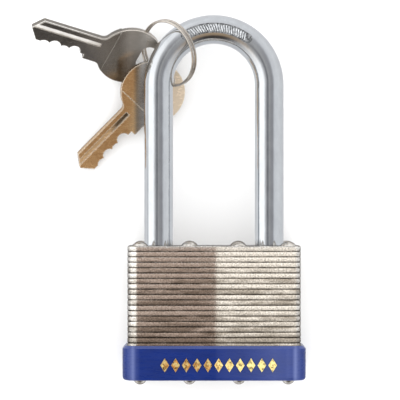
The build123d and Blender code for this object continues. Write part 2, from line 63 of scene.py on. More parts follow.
# Sizes and colours that a user would change
class PadlockFinishes(bpy.types.PropertyGroup):
    """Colours of the padlock's surfaces"""

    plate_colour: bpy.props.FloatVectorProperty(
        name="Plates", description="Plating on the stack's edges", subtype="COLOR",
        default=(0.90, 0.86, 0.80), min=0.0, max=1.0,
    )
    plate_stain: bpy.props.FloatVectorProperty(
        name="Plate Stain", description="Dull plating in the worn streaks", subtype="COLOR",
        default=(0.44, 0.40, 0.35), min=0.0, max=1.0,
    )
    plate_rim_tint: bpy.props.FloatVectorProperty(
        name="Plate Rim", description="Tint of the plating where it turns away", subtype="COLOR",
        default=(0.16, 0.15, 0.14), min=0.0, max=1.0,
    )
    bumper_colour: bpy.props.FloatVectorProperty(
        name="Bumper", description="Moulded blue of the bumper", subtype="COLOR",
        default=(0.0025, 0.0155, 0.117), min=0.0, max=1.0,
    )
    # Painted highlight: the paler blue painted on the bumper's corners, shoulder and right half
    bumper_highlight_colour: bpy.props.FloatVectorProperty(
        name="Rubbed Bumper", description="Paler blue of the bumper's rubbed corners", subtype="COLOR",
        default=(0.085, 0.11, 0.26), min=0.0, max=1.0,
    )
    chrome_colour: bpy.props.FloatVectorProperty(
        name="Chrome", description="Tint of the shackle's chrome", subtype="COLOR",
        default=(0.62, 0.64, 0.66), min=0.0, max=1.0,
    )
    gold_colour: bpy.props.FloatVectorProperty(
        name="Gold Foil", description="Foil on the bumper's lozenges", subtype="COLOR",
        default=(0.86, 0.45, 0.12), min=0.0, max=1.0,
    )
    # Painted reflection: the paler foil painted on the lozenges to the right, also used as a painted
    # highlight on their edges
    gold_sheen_colour: bpy.props.FloatVectorProperty(
        name="Pale Foil", description="Foil on the lozenges to the right", subtype="COLOR",
        default=(1.0, 0.84, 0.38), min=0.0, max=1.0,
    )
    nickel_colour: bpy.props.FloatVectorProperty(
        name="Nickel", description="Plating of the ring and of one key", subtype="COLOR",
        default=(0.62, 0.57, 0.51), min=0.0, max=1.0,
    )
    key_brass_colour: bpy.props.FloatVectorProperty(
        name="Key Brass", description="Polished brass of the other key", subtype="COLOR",
        default=(0.72, 0.48, 0.255), min=0.0, max=1.0,
    )
    # Painted highlight that also stands for burnished wear: the pale colour on the nickel key's edges
    nickel_edge_wear_and_highlight_colour: bpy.props.FloatVectorProperty(
        name="Nickel Edges", description="Burnished edges of the nickel key", subtype="COLOR",
        default=(0.72, 0.67, 0.60), min=0.0, max=1.0,
    )
    # Painted highlight that also stands for burnished wear: the pale colour on the brass key's edges
    brass_rim_wear_and_highlight_colour: bpy.props.FloatVectorProperty(
        name="Brass Rims", description="Burnished edges of the brass key", subtype="COLOR",
        default=(0.90, 0.80, 0.66), min=0.0, max=1.0,
    )
    # Painted reflection: the pale colour painted on the right part of the brass key's bow
    pale_brass_sheen_colour: bpy.props.FloatVectorProperty(
        name="Pale Brass", description="Bleached side of the brass key's bow", subtype="COLOR",
        default=(0.66, 0.55, 0.42), min=0.0, max=1.0,
    )
    lock_brass_colour: bpy.props.FloatVectorProperty(
        name="Lock Brass", description="Machined brass inside the lock", subtype="COLOR",
        default=(0.70, 0.50, 0.20), min=0.0, max=1.0,
    )
    steel_colour: bpy.props.FloatVectorProperty(
        name="Inner Steel", description="Oiled steel of the springs, clips, dogs and cam", subtype="COLOR",
        default=(0.36, 0.36, 0.37), min=0.0, max=1.0,
    )


class PadlockTrim(bpy.types.PropertyGroup):
    """Sizes of the bumper's lozenges and the crown's ribs"""

    lozenge_count: bpy.props.IntProperty(
        name="Lozenges", description="Lozenges in the bumper's row", default=11, min=1, max=24,
    )
    lozenge_pitch: bpy.props.FloatProperty(
        name="Lozenge Pitch", description="Distance between lozenges", default=0.0031, unit="LENGTH",
    )
    lozenge_width: bpy.props.FloatProperty(
        name="Lozenge Width", description="Width of one lozenge", default=0.0025, unit="LENGTH",
    )
    lozenge_height: bpy.props.FloatProperty(
        name="Lozenge Height", description="Height of one lozenge", default=0.0040, unit="LENGTH",
    )
    lozenge_rise: bpy.props.FloatProperty(
        name="Lozenge Rise", description="How far a lozenge stands proud", default=0.00022, unit="LENGTH",
    )
    row_shift: bpy.props.FloatProperty(
        name="Row Shift", description="Row's middle to the right of the bumper's",
        default=0.0013, unit="LENGTH",
    )
    row_drop: bpy.props.FloatProperty(
        name="Row Drop", description="Row's middle below the bumper's", default=0.0005, unit="LENGTH",
    )
    rib_count: bpy.props.IntProperty(
        name="Ribs", description="Ribs in the crown's panel", default=25, min=1, max=40,
    )
    rib_first: bpy.props.FloatProperty(
        name="First Rib", description="Angle of the first rib round the crown",
        default=math.radians(57.0), subtype="ANGLE",
    )
    rib_last: bpy.props.FloatProperty(
        name="Last Rib", description="Angle of the last rib round the crown",
        default=math.radians(117.0), subtype="ANGLE",
    )
    rib_length: bpy.props.FloatProperty(
        name="Rib Length", description="Length of a rib across the panel", default=0.0021, unit="LENGTH",
    )
    rib_width: bpy.props.FloatProperty(
        name="Rib Width", description="Width of a rib", default=0.00036, unit="LENGTH",
    )
    rib_slant: bpy.props.FloatProperty(
        name="Rib Slant", description="Slant of the ribs", default=math.radians(20.0), subtype="ANGLE",
    )
    panel_depth: bpy.props.FloatProperty(
        name="Panel Depth", description="Depth of the crown's panel", default=0.00065, unit="LENGTH",
    )
    panel_shift: bpy.props.FloatProperty(
        name="Panel Shift", description="Panel's distance outside the rod's middle line",
        default=0.00035, unit="LENGTH",
    )
    panel_half_width: bpy.props.FloatProperty(
        name="Panel Half Width", description="Reach of the panel's floor to each side of its middle line",
        default=0.0016, unit="LENGTH",
    )


class PadlockStudio(bpy.types.PropertyGroup):
    """Floor, light and camera"""

    view_centre: bpy.props.FloatVectorProperty(
        name="View Centre", description="Point of the front face in the middle of the picture",
        size=2, default=(-0.00407, 0.0470), subtype="TRANSLATION",
    )
    view_width: bpy.props.FloatProperty(
        name="View Width", description="Width of the picture at the front face",
        default=0.1151, unit="LENGTH",
    )
    camera_height: bpy.props.FloatProperty(
        name="Camera Height", description="Camera above the front face", default=0.95, unit="LENGTH",
    )
    floor_colour: bpy.props.FloatVectorProperty(
        name="Floor", description="Pale floor under the lock", subtype="COLOR",
        default=(0.84, 0.84, 0.84), min=0.0, max=1.0,
    )
    room_light: bpy.props.FloatProperty(
        name="Room Light", description="Strength of the even light from all round", default=1.9, min=0.0,
    )
    brown_card_colour: bpy.props.FloatVectorProperty(
        name="Brown Card", description="Card that the stack's left half mirrors", subtype="COLOR",
        default=(0.41, 0.312, 0.263), min=0.0, max=1.0,
    )
    white_card_colour: bpy.props.FloatVectorProperty(
        name="White Card", description="Card that the stack's right half mirrors", subtype="COLOR",
        default=(1.0, 0.95, 0.885), min=0.0, max=1.0,
    )
    pad_card_colour: bpy.props.FloatVectorProperty(
        name="Pad Card", description="Card that the stack's left corner mirrors", subtype="COLOR",
        default=(1.5, 1.5, 1.48), min=0.0, max=4.0,
    )
    side_card_colour: bpy.props.FloatVectorProperty(
        name="Side Card", description="Card that the bumper's right corner mirrors", subtype="COLOR",
        default=(2.2, 2.2, 2.25), min=0.0, max=4.0,
    )
    card_edge: bpy.props.FloatProperty(
        name="Card Edge", description="Where the two cards meet across the lock",
        default=0.0006, unit="LENGTH",
    )
    card_height: bpy.props.FloatProperty(
        name="Card Height", description="Cards above the stack's front", default=0.0027, unit="LENGTH",
    )


# Helpers for materials
white = (1.0, 1.0, 1.0)


def start_finish(name):
    """A new material, its node tree and its surface shader."""
    material = bpy.data.materials.new(name)
    material.use_nodes = True
    return material, material.node_tree, material.node_tree.nodes["Principled BSDF"]


def coordinate_axes(tree, kind="Object"):
    """Coordinates of one kind, split into X, Y and Z."""
    source = tree.nodes.new("ShaderNodeTexCoord")
    split = tree.nodes.new("ShaderNodeSeparateXYZ")
    tree.links.new(source.outputs[kind], split.inputs["Vector"])
    return split.outputs


def noise(tree, scale, detail=4.0, roughness=0.55, stretch=(1.0, 1.0, 1.0)):
    """A noise pattern's value, on Object coordinates stretched along each axis."""
    source = tree.nodes.new("ShaderNodeTexCoord")
    mapping = tree.nodes.new("ShaderNodeMapping")
    mapping.inputs["Scale"].default_value = stretch
    tree.links.new(source.outputs["Object"], mapping.inputs["Vector"])
    texture = tree.nodes.new("ShaderNodeTexNoise")
    texture.inputs["Scale"].default_value = scale
    texture.inputs["Detail"].default_value = detail
    texture.inputs["Roughness"].default_value = roughness
    tree.links.new(mapping.outputs["Vector"], texture.inputs["Vector"])
    return texture.outputs["Fac"]


def ramp(tree, value, stops):
    """Colours along a value, as (place, colour) stops."""
    node = tree.nodes.new("ShaderNodeValToRGB")
    while len(node.color_ramp.elements) < len(stops):
        node.color_ramp.elements.new(0.5)
    for element, (place, colour) in zip(node.color_ramp.elements, stops):
        element.position = place
        element.color = (*colour, 1.0)
    tree.links.new(value, node.inputs["Fac"])
    return node.outputs["Color"]


def tint_ramp(tree, value, tint, stops):
    """Strengths of one tint along a value, as (place, strength) stops."""
    return ramp(tree, value, [(place, tuple(Vector(tint) * strength)) for place, strength in stops])


def map_value(tree, value, to_range, from_range=(0.25, 0.75)):
    """A value spread from one range over another."""
    node = tree.nodes.new("ShaderNodeMapRange")
    node.inputs["From Min"].default_value, node.inputs["From Max"].default_value = from_range
    node.inputs["To Min"].default_value, node.inputs["To Max"].default_value = to_range
    tree.links.new(value, node.inputs["Value"])
    return node.outputs["Result"]


def math_node(tree, operation, first, second=0.0):
    """One step of arithmetic on values or numbers."""
    node = tree.nodes.new("ShaderNodeMath")
    node.operation = operation
    for socket, value in zip(node.inputs, (first, second)):
        if isinstance(value, (int, float)):
            socket.default_value = value
        else:
            tree.links.new(value, socket)
    return node.outputs["Value"]


def shade(tree, colour, value):
    """A colour made lighter or darker by a value."""
    node = tree.nodes.new("ShaderNodeVectorMath")
    node.operation = "SCALE"
    tree.links.new(colour, node.inputs[0])
    tree.links.new(value, node.inputs["Scale"])
    return node.outputs["Vector"]


def blend_colours(tree, share, first, second):
    """A mix of two colours, each a socket or a plain colour."""
    node = tree.nodes.new("ShaderNodeMix")
    node.data_type = "RGBA"
    tree.links.new(share, node.inputs["Factor"])
    ends = {socket.name: socket for socket in node.inputs if socket.type == "RGBA"}
    for socket, colour in ((ends["A"], first), (ends["B"], second)):
        if isinstance(colour, tuple):
            socket.default_value = (*colour, 1.0)
        else:
            tree.links.new(colour, socket)
    return next(socket for socket in node.outputs if socket.type == "RGBA")


def turned_up(tree):
    """How far a surface faces up the lock, from -1 to 1."""
    surface = tree.nodes.new("ShaderNodeNewGeometry")
    split = tree.nodes.new("ShaderNodeSeparateXYZ")
    tree.links.new(surface.outputs["True Normal"], split.inputs["Vector"])
    return split.outputs["Y"]


def edge_mask(tree, radius):
    """A value that is 1 on a piece's edges and 0 on its flat faces."""
    rounded = tree.nodes.new("ShaderNodeBevel")
    rounded.inputs["Radius"].default_value = radius
    surface = tree.nodes.new("ShaderNodeNewGeometry")
    likeness = tree.nodes.new("ShaderNodeVectorMath")
    likeness.operation = "DOT_PRODUCT"
    tree.links.new(rounded.outputs["Normal"], likeness.inputs[0])
    tree.links.new(surface.outputs["True Normal"], likeness.inputs[1])
    edge_to_flat = (0.80, 0.97)
    return map_value(tree, likeness.outputs["Value"], (1.0, 0.0), edge_to_flat)


def place_along(tree, axis, low, high):
    """A value that runs from 0 to 1 between two places on an axis."""
    return map_value(tree, coordinate_axes(tree)[axis], (0.0, 1.0), (low, high))


def key_height(tree, node):
    """Height above a key's mid plane, from -1 on its far face to 1 on its near face."""
    mesh = nodes_of_frame[node].data
    normal = max(mesh.polygons, key=lambda polygon: polygon.area).normal.copy()
    if normal.z < 0.0:
        normal.negate()
    heights = [normal.dot(vertex.co) for vertex in mesh.vertices]
    source = tree.nodes.new("ShaderNodeTexCoord")
    lift = tree.nodes.new("ShaderNodeVectorMath")
    lift.operation = "DOT_PRODUCT"
    lift.inputs[1].default_value = normal
    tree.links.new(source.outputs["Object"], lift.inputs[0])
    return map_value(tree, lift.outputs["Value"], (-1.0, 1.0), (min(heights), max(heights)))


def bump(tree, shader, height, distance, edge_radius=0.0):
    """Relief on a shader from a height value, with rounded edges where a radius is given."""
    node = tree.nodes.new("ShaderNodeBump")
    node.inputs["Distance"].default_value = distance
    tree.links.new(height, node.inputs["Height"])
    if edge_radius > 0.0:
        edges = tree.nodes.new("ShaderNodeBevel")
        edges.inputs["Radius"].default_value = edge_radius
        tree.links.new(edges.outputs["Normal"], node.inputs["Normal"])
    tree.links.new(node.outputs["Normal"], shader.inputs["Normal"])


def dress(names, material):
    """Give CAD nodes a finish."""
    for name in names:
        nodes_of_frame[name].data.materials.clear()
        nodes_of_frame[name].data.materials.append(material)


# Finishes
def plate_finish(finishes):
    """Plated stamped edges: sheared grain, dull streaks, and dark seams between plates, painted shade that
    also stands for dirt.
    """
    material, tree, shader = start_finish("plated_stamped_edges")
    rise = math_node(tree, "SUBTRACT", coordinate_axes(tree)["Y"], plate_low.y)
    count = math_node(tree, "DIVIDE", rise, plate_pitch)
    number = math_node(tree, "FLOOR", count)
    within = math_node(tree, "FRACT", count)
    chance = tree.nodes.new("ShaderNodeTexWhiteNoise")
    chance.noise_dimensions = "1D"
    tree.links.new(number, chance.inputs["W"])
    plate_tone = chance.outputs["Value"]
    streaks = noise(tree, scale=2400.0, detail=5.0, stretch=(0.10, 1.0, 1.0))
    grain = noise(tree, scale=2600.0, detail=3.0, roughness=0.7, stretch=(0.8, 1.0, 1.0))
    stain = noise(tree, scale=380.0, detail=6.0, stretch=(0.30, 1.7, 1.0))

    # The lower plates, and some of the others by chance, are duller
    lower_to_upper_plates = (3.0, 20.0)
    lowness = map_value(tree, number, (0.74, 0.12), lower_to_upper_plates)
    dull = math_node(tree, "MULTIPLY", stain, math_node(tree, "ADD", plate_tone, lowness))
    colour = ramp(tree, dull, (
        (0.36, tuple(finishes.plate_colour)),
        (0.66, tuple(finishes.plate_stain)),
    ))

    # Painted shade, which also stands for dirt, darkens the ragged seams, and not the flat ends of the stack
    from_edge = math_node(tree, "MINIMUM", within, math_node(tree, "SUBTRACT", 1.0, within))
    ragged = math_node(tree, "ADD", from_edge, map_value(tree, streaks, (-0.10, 0.12)))
    seam_tone, seam_width = 0.42, (0.02, 0.20)
    seam = map_value(tree, ragged, (seam_tone, 1.0), seam_width)
    nearly_square = 0.9
    end_face = math_node(tree, "GREATER_THAN", math_node(tree, "ABSOLUTE", turned_up(tree)), nearly_square)
    seam = math_node(tree, "MAXIMUM", seam, end_face)
    speckle = map_value(tree, grain, (0.45, 1.35), (0.30, 0.70))
    colour = shade(tree, shade(tree, colour, speckle), seam)
    # Painted highlight and shade: each plate is darker along its lower part and lighter along its upper part
    colour = shade(tree, colour, map_value(tree, within, (0.78, 1.14), (0.25, 0.70)))
    tree.links.new(colour, shader.inputs["Base Color"])
    shader.inputs["Metallic"].default_value = 1.0
    shader.inputs["Specular Tint"].default_value = (*finishes.plate_rim_tint, 1.0)
    tree.links.new(map_value(tree, streaks, (0.16, 0.34)), shader.inputs["Roughness"])

    # Each plate's edge leans a little its own way, under the grain and the streaks
    lean = math_node(tree, "MULTIPLY", math_node(tree, "SUBTRACT", plate_tone, 0.5), within)
    relief = math_node(tree, "MULTIPLY", lean, 0.8)
    for pattern, weight in ((grain, 0.5), (streaks, 0.3)):
        relief = math_node(tree, "ADD", relief, math_node(tree, "MULTIPLY", pattern, weight))
    bump(tree, shader, relief, distance=0.00009)
    return material


def rivet_finish(finishes):
    """Upset nickel-plated heads with hammer marks."""
    material, tree, shader = start_finish("upset_rivet_heads")
    marks = noise(tree, scale=900.0)
    colour = ramp(tree, marks, ((0.3, tuple(finishes.plate_stain)), (0.6, tuple(finishes.plate_colour))))
    tree.links.new(colour, shader.inputs["Base Color"])
    shader.inputs["Metallic"].default_value = 1.0
    shader.inputs["Specular Tint"].default_value = (*finishes.plate_rim_tint, 1.0)
    tree.links.new(map_value(tree, marks, (0.14, 0.3)), shader.inputs["Roughness"])
    bump(tree, shader, marks, distance=0.00008)
    return material


def painted_bumper_highlights(tree):
    """A value that is high on the bumper's corners and shoulder, and less on its right half, where
    highlights and a sheen are painted on the blue.
    """
    width = bumper_high.x - bumper_low.x
    place = place_along(tree, "X", bumper_low.x, bumper_high.x)
    off_middle = math_node(tree, "ABSOLUTE", math_node(tree, "SUBTRACT", place, 0.5))
    # Distances in from the side, and how strong the painted highlight on the corner is there
    corner_highlight = ((0.0052, 0.0), (0.0040, 0.22), (0.0031, 1.0), (0.0023, 0.45), (0.0012, 0.14), (0.0, 0.08))
    corner = tint_ramp(tree, off_middle, white, [(0.5 - inset / width, rub) for inset, rub in corner_highlight])
    # Shares of the width from the left, and how strong the painted sheen on the blue is there
    sheen_stops = (
        (0.50, 0.0), (0.56, 0.07), (0.66, 0.12), (0.74, 0.22),
        (0.83, 0.36), (0.90, 0.30), (0.96, 0.08),
    )
    painted_sheen = tint_ramp(tree, place, white, sheen_stops)
    # How far the surface faces up, and how strong the painted highlight on the shoulder is there
    shoulder_highlight = ((0.3, 0.0), (0.6, 0.5), (0.8, 0.5), (0.97, 0.06))
    shoulder = tint_ramp(tree, turned_up(tree), white, shoulder_highlight)
    return math_node(tree, "MAXIMUM", math_node(tree, "MAXIMUM", corner, painted_sheen), shoulder)


def bumper_finish(finishes):
    """Gloss blue moulding with faint flow marks, scuffs, and painted highlights on its corners, shoulder and
    right half.
    """
    material, tree, shader = start_finish("blue_moulded_bumper")
    flow = noise(tree, scale=260.0, detail=5.0, stretch=(0.3, 1.0, 1.0))
    colour = tint_ramp(tree, flow, finishes.bumper_colour, ((0.3, 0.8), (0.7, 1.2)))
    # Painted highlights and sheen: paler blue on the corners, shoulder and right half
    colour = blend_colours(tree, painted_bumper_highlights(tree), colour, tuple(finishes.bumper_highlight_colour))
    tree.links.new(colour, shader.inputs["Base Color"])
    scuffs = noise(tree, scale=1500.0, detail=6.0, stretch=(0.25, 1.0, 1.0))
    tree.links.new(map_value(tree, scuffs, (0.2, 0.38)), shader.inputs["Roughness"])
    shader.inputs["Specular IOR Level"].default_value = 0.2
    bump(tree, shader, scuffs, distance=0.00002)
    return material


def panel_floor(trim):
    """Height of the floor of the crown's panel."""
    return rod_height + rod_radius - trim.panel_depth


def panel_radius(trim):
    """Radius of the panel's middle line round the crown."""
    return crown_radius + trim.panel_shift


def panel_mask(tree, trim):
    """A value that is 1 on the floor of the crown's panel and 0 elsewhere."""
    axes = coordinate_axes(tree)
    above = math_node(tree, "ABSOLUTE", math_node(tree, "SUBTRACT", axes["Z"], panel_floor(trim)))
    ahead = math_node(tree, "SUBTRACT", axes["Y"], crown_centre.y)
    across_squared = math_node(tree, "MULTIPLY", axes["X"], axes["X"])
    ahead_squared = math_node(tree, "MULTIPLY", ahead, ahead)
    reach = math_node(tree, "SQRT", math_node(tree, "ADD", across_squared, ahead_squared))
    aside = math_node(tree, "ABSOLUTE", math_node(tree, "SUBTRACT", reach, panel_radius(trim)))
    height_slack = 0.00005
    at_floor = math_node(tree, "LESS_THAN", above, height_slack)
    in_panel = math_node(tree, "LESS_THAN", aside, trim.panel_half_width)
    on_crown = math_node(tree, "GREATER_THAN", ahead, 0.0)
    return math_node(tree, "MULTIPLY", math_node(tree, "MULTIPLY", at_floor, in_panel), on_crown)


def chrome_finish(finishes, trim):
    """Chrome over a drawn rod: faint draw lines and ripples, and a dark grained floor in the panel."""
    material, tree, shader = start_finish("chromed_rod")
    ripple = noise(tree, scale=500.0, stretch=(1.0, 0.5, 1.0))
    colour = tint_ramp(tree, ripple, finishes.chrome_colour, ((0.3, 0.95), (0.7, 1.04)))
    grain = noise(tree, scale=1800.0, detail=3.0, roughness=0.7)
    stamped = tint_ramp(tree, grain, finishes.chrome_colour, ((0.40, 0.30), (0.62, 1.2)))
    colour = blend_colours(tree, panel_mask(tree, trim), colour, stamped)
    tree.links.new(colour, shader.inputs["Base Color"])
    shader.inputs["Metallic"].default_value = 1.0
    tree.links.new(map_value(tree, ripple, (0.05, 0.13)), shader.inputs["Roughness"])
    bump(tree, shader, ripple, distance=0.00003)
    return material


def rib_finish(finishes):
    """Burnished tops of the panel's ribs."""
    material, tree, shader = start_finish("burnished_ribs")
    rub = noise(tree, scale=1500.0, detail=3.0)
    colour = tint_ramp(tree, rub, finishes.chrome_colour, ((0.35, 0.6), (0.60, 1.3)))
    tree.links.new(colour, shader.inputs["Base Color"])
    shader.inputs["Metallic"].default_value = 0.5
    shader.inputs["Roughness"].default_value = 0.25
    return material


def gold_finish(finishes):
    """Hot-stamped gold foil with thin spots and bright flecks; it is paler towards the right as a painted
    reflection, and its edges carry a painted highlight.
    """
    material, tree, shader = start_finish("gold_foil")
    gold_sheen = tuple(finishes.gold_sheen_colour)
    # Painted reflection: the foil turns paler from here towards the right
    gold_end, pale_start = -0.006, 0.010
    tone = place_along(tree, "X", gold_end, pale_start)
    colour = ramp(tree, tone, ((0.0, tuple(finishes.gold_colour)), (1.0, gold_sheen)))
    thin = noise(tree, scale=1100.0)
    colour = shade(tree, colour, map_value(tree, thin, (0.12, 1.15), (0.38, 0.58)))
    fleck = noise(tree, scale=1300.0, detail=2.0, stretch=(1.0, 0.6, 1.0))
    bright_fleck = map_value(tree, fleck, (0.0, 1.0), (0.50, 0.58))
    # Painted highlight on the lozenges' edges, together with random bright flecks
    edge_highlight_and_flecks = math_node(tree, "MAXIMUM", edge_mask(tree, radius=0.0002), bright_fleck)
    colour = blend_colours(tree, edge_highlight_and_flecks, colour, gold_sheen)
    tree.links.new(colour, shader.inputs["Base Color"])
    shader.inputs["Metallic"].default_value = 0.85
    tree.links.new(map_value(tree, thin, (0.22, 0.4)), shader.inputs["Roughness"])
    bump(tree, shader, thin, distance=0.00002)
    return material


def key_finish(node, name, tones, groove_tones, edge_colour, edge_radius, wall_shade, roughness):
    """Polished key stock: tones from left to right that paint its highlights, shade and reflections, a
    groove painted in tones of its own, scratches, edges with a painted highlight that also stands for
    burnished wear, and side walls darkened as painted shade.
    """
    material, tree, shader = start_finish(name)
    low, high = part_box(node)
    place = place_along(tree, "X", low.x, high.x)

    def share(x):
        return (x - low.x) / (high.x - low.x)

    # Painted light and shade: the tones along the key stand in for its highlights, shade and reflections
    colour = ramp(tree, place, [(share(x), tone) for x, tone, _ in tones])
    metal = tint_ramp(tree, place, white, [(share(x), shine) for x, _, shine in tones])
    # Painted light and shade in the groove: lighter on the nickel key as a painted highlight, darker on the
    # brass key as painted shade
    painted_groove = ramp(tree, place, [(share(x), tone) for x, tone in groove_tones])
    height = key_height(tree, node)
    groove_height, groove_slack = 0.5, 0.1
    off_groove = math_node(tree, "ABSOLUTE", math_node(tree, "SUBTRACT", height, groove_height))
    groove = math_node(tree, "LESS_THAN", off_groove, groove_slack)
    colour = blend_colours(tree, groove, colour, painted_groove)
    # Painted highlight on the edges, which also stands for burnished wear
    edge_wear_and_highlight = edge_mask(tree, edge_radius)
    colour = blend_colours(tree, edge_wear_and_highlight, colour, edge_colour)
    # Painted shade: the key's side walls darken towards its far face
    colour = shade(tree, colour, map_value(tree, height, (wall_shade, 1.0), (-0.8, 0.3)))
    scratches = noise(tree, scale=1200.0, detail=6.0, stretch=(0.4, 1.0, 1.0))
    colour = shade(tree, colour, map_value(tree, scratches, (0.90, 1.06), (0.3, 0.7)))
    tree.links.new(colour, shader.inputs["Base Color"])
    dull = math_node(tree, "MAXIMUM", edge_wear_and_highlight, groove)
    metal = math_node(tree, "MULTIPLY", metal, map_value(tree, dull, (1.0, 0.4), (0.0, 1.0)))
    tree.links.new(metal, shader.inputs["Metallic"])
    polish = map_value(tree, scratches, (roughness * 0.7, roughness * 1.4))
    tree.links.new(polish, shader.inputs["Roughness"])
    bump(tree, shader, scratches, distance=0.00003, edge_radius=0.0003)
    return material


def machined_finish(name, tint, roughness):
    """Turned, stamped or drawn metal with tool marks."""
    material, tree, shader = start_finish(name)
    marks = noise(tree, scale=2200.0, detail=3.0, stretch=(0.5, 1.0, 0.5))
    colour = tint_ramp(tree, marks, tint, ((0.3, 0.8), (0.7, 1.05)))
    tree.links.new(colour, shader.inputs["Base Color"])
    shader.inputs["Metallic"].default_value = 1.0
    polish = map_value(tree, marks, (roughness * 0.8, roughness * 1.3))
    tree.links.new(polish, shader.inputs["Roughness"])
    bump(tree, shader, marks, distance=0.00002)
    return material


# Helpers for pieces modelled with operators
def select_only(*objects):
    """Deselect everything, then select these and make the last one active."""
    if bpy.context.mode != "OBJECT":
        bpy.ops.object.mode_set(mode="OBJECT")
    bpy.ops.object.select_all(action="DESELECT")
    for item in objects:
        item.select_set(True)
        bpy.context.view_layer.objects.active = item


def select_faces(item, chosen):
    """Go into edit mode with the faces selected that a test picks."""
    bpy.ops.object.mode_set(mode="OBJECT")
    for edge in item.data.edges:
        edge.select = False
    for vertex in item.data.vertices:
        vertex.select = False
    for polygon in item.data.polygons:
        polygon.select = chosen(polygon)
        if polygon.select:
            for corner in polygon.vertices:
                item.data.vertices[corner].select = True
    bpy.ops.object.mode_set(mode="EDIT")
    bpy.ops.mesh.select_mode(type="FACE")


def copies_of(item, places):
    """Copies of a piece, each with its own mesh, moved and turned about Z; then all joined in one."""
    made = []
    for offset, angle in places:
        select_only(item)
        bpy.ops.object.duplicate(linked=False)
        twin = bpy.context.view_layer.objects.active
        twin.location = offset
        twin.rotation_euler = (0.0, 0.0, angle)
        made.append(twin)
    bpy.data.objects.remove(item)
    select_only(*made)
    bpy.ops.object.transform_apply(location=True, rotation=True, scale=True)
    bpy.ops.object.join()
    return bpy.context.view_layer.objects.active


# One operator for each group of pieces
class PADLOCK_OT_stack(bpy.types.Operator):
    """Finish the plates and the rivets"""

    bl_idname = "padlock.stack"
    bl_label = "Finish Stack"

    def execute(self, context):
        finishes = context.scene.padlock_finishes
        plates = [name for name in nodes_of_frame if name.startswith("plate_")]
        dress(plates + ["bottom_plate", "top_plate"], plate_finish(finishes))
        dress(["front_rivets", "back_rivets"], rivet_finish(finishes))
        return {"FINISHED"}


class PADLOCK_OT_bumper(bpy.types.Operator):
    """Finish the bumper and add its row of gold lozenges"""

    bl_idname = "padlock.bumper"
    bl_label = "Finish Bumper"

    def execute(self, context):
        finishes = context.scene.padlock_finishes
        trim = context.scene.padlock_trim
        dress(["bumper"], bumper_finish(finishes))
        middle = (bumper_low + bumper_high) / 2
        start = middle.x + trim.row_shift - trim.lozenge_pitch * (trim.lozenge_count - 1) / 2
        row_y = middle.y - trim.row_drop
        places = [
            ((start + trim.lozenge_pitch * i, row_y, bumper_high.z), 0.0)
            for i in range(trim.lozenge_count)
        ]
        row = copies_of(self.lozenge(context, trim), places)
        row.name = "bumper_lozenges"
        row.data.materials.append(gold_finish(finishes))
        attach(row, "lock_body")
        return {"FINISHED"}

    def lozenge(self, context, trim):
        """One lozenge: a rim, a shallow step down, and a raised middle."""
        select_only()
        bpy.ops.mesh.primitive_cylinder_add(vertices=4, radius=0.5, depth=1.0)
        lozenge = context.active_object
        lozenge.name = "bumper_lozenges"
        lozenge.scale = (trim.lozenge_width, trim.lozenge_height, 2 * trim.lozenge_rise)
        bpy.ops.object.transform_apply(scale=True)
        nearly_level = 0.9
        select_faces(lozenge, lambda polygon: polygon.normal.z > nearly_level)
        rim, step_depth = 0.12 * trim.lozenge_width, 0.5 * trim.lozenge_rise
        slope, middle_rise = 0.08 * trim.lozenge_width, 0.8 * trim.lozenge_rise
        bpy.ops.mesh.inset(thickness=rim, depth=-step_depth)
        bpy.ops.mesh.inset(thickness=slope, depth=middle_rise)
        bpy.ops.object.mode_set(mode="OBJECT")
        return lozenge


class PADLOCK_OT_shackle(bpy.types.Operator):
    """Finish the shackle and add the ribs of its crown panel"""

    bl_idname = "padlock.shackle"
    bl_label = "Finish Shackle"

    def execute(self, context):
        finishes = context.scene.padlock_finishes
        trim = context.scene.padlock_trim
        dress(["shackle"], chrome_finish(finishes, trim))
        places = []
        for i in range(trim.rib_count):
            angle = trim.rib_first + (trim.rib_last - trim.rib_first) * i / (trim.rib_count - 1)
            spot = crown_centre + Vector((math.cos(angle), math.sin(angle), 0.0)) * panel_radius(trim)
            places.append(((spot.x, spot.y, panel_floor(trim)), angle + trim.rib_slant))
        ribs = copies_of(self.rib(context, trim), places)
        ribs.name = "crown_ribs"
        ribs.data.materials.append(rib_finish(finishes))
        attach(ribs, "shackle")
        return {"FINISHED"}

    def rib(self, context, trim):
        """One rib with rounded edges, its middle on the panel's floor."""
        select_only()
        bpy.ops.mesh.primitive_cube_add(size=1.0)
        rib = context.active_object
        rib.name = "crown_ribs"
        rib_rise = 0.8 * trim.panel_depth
        rib.scale = (trim.rib_length, trim.rib_width, 2 * rib_rise)
        bpy.ops.object.transform_apply(scale=True)
        bpy.ops.object.mode_set(mode="EDIT")
        bpy.ops.mesh.select_all(action="SELECT")
        bpy.ops.mesh.bevel(offset=0.25 * trim.rib_width, segments=2, affect="EDGES")
        bpy.ops.object.mode_set(mode="OBJECT")
        return rib


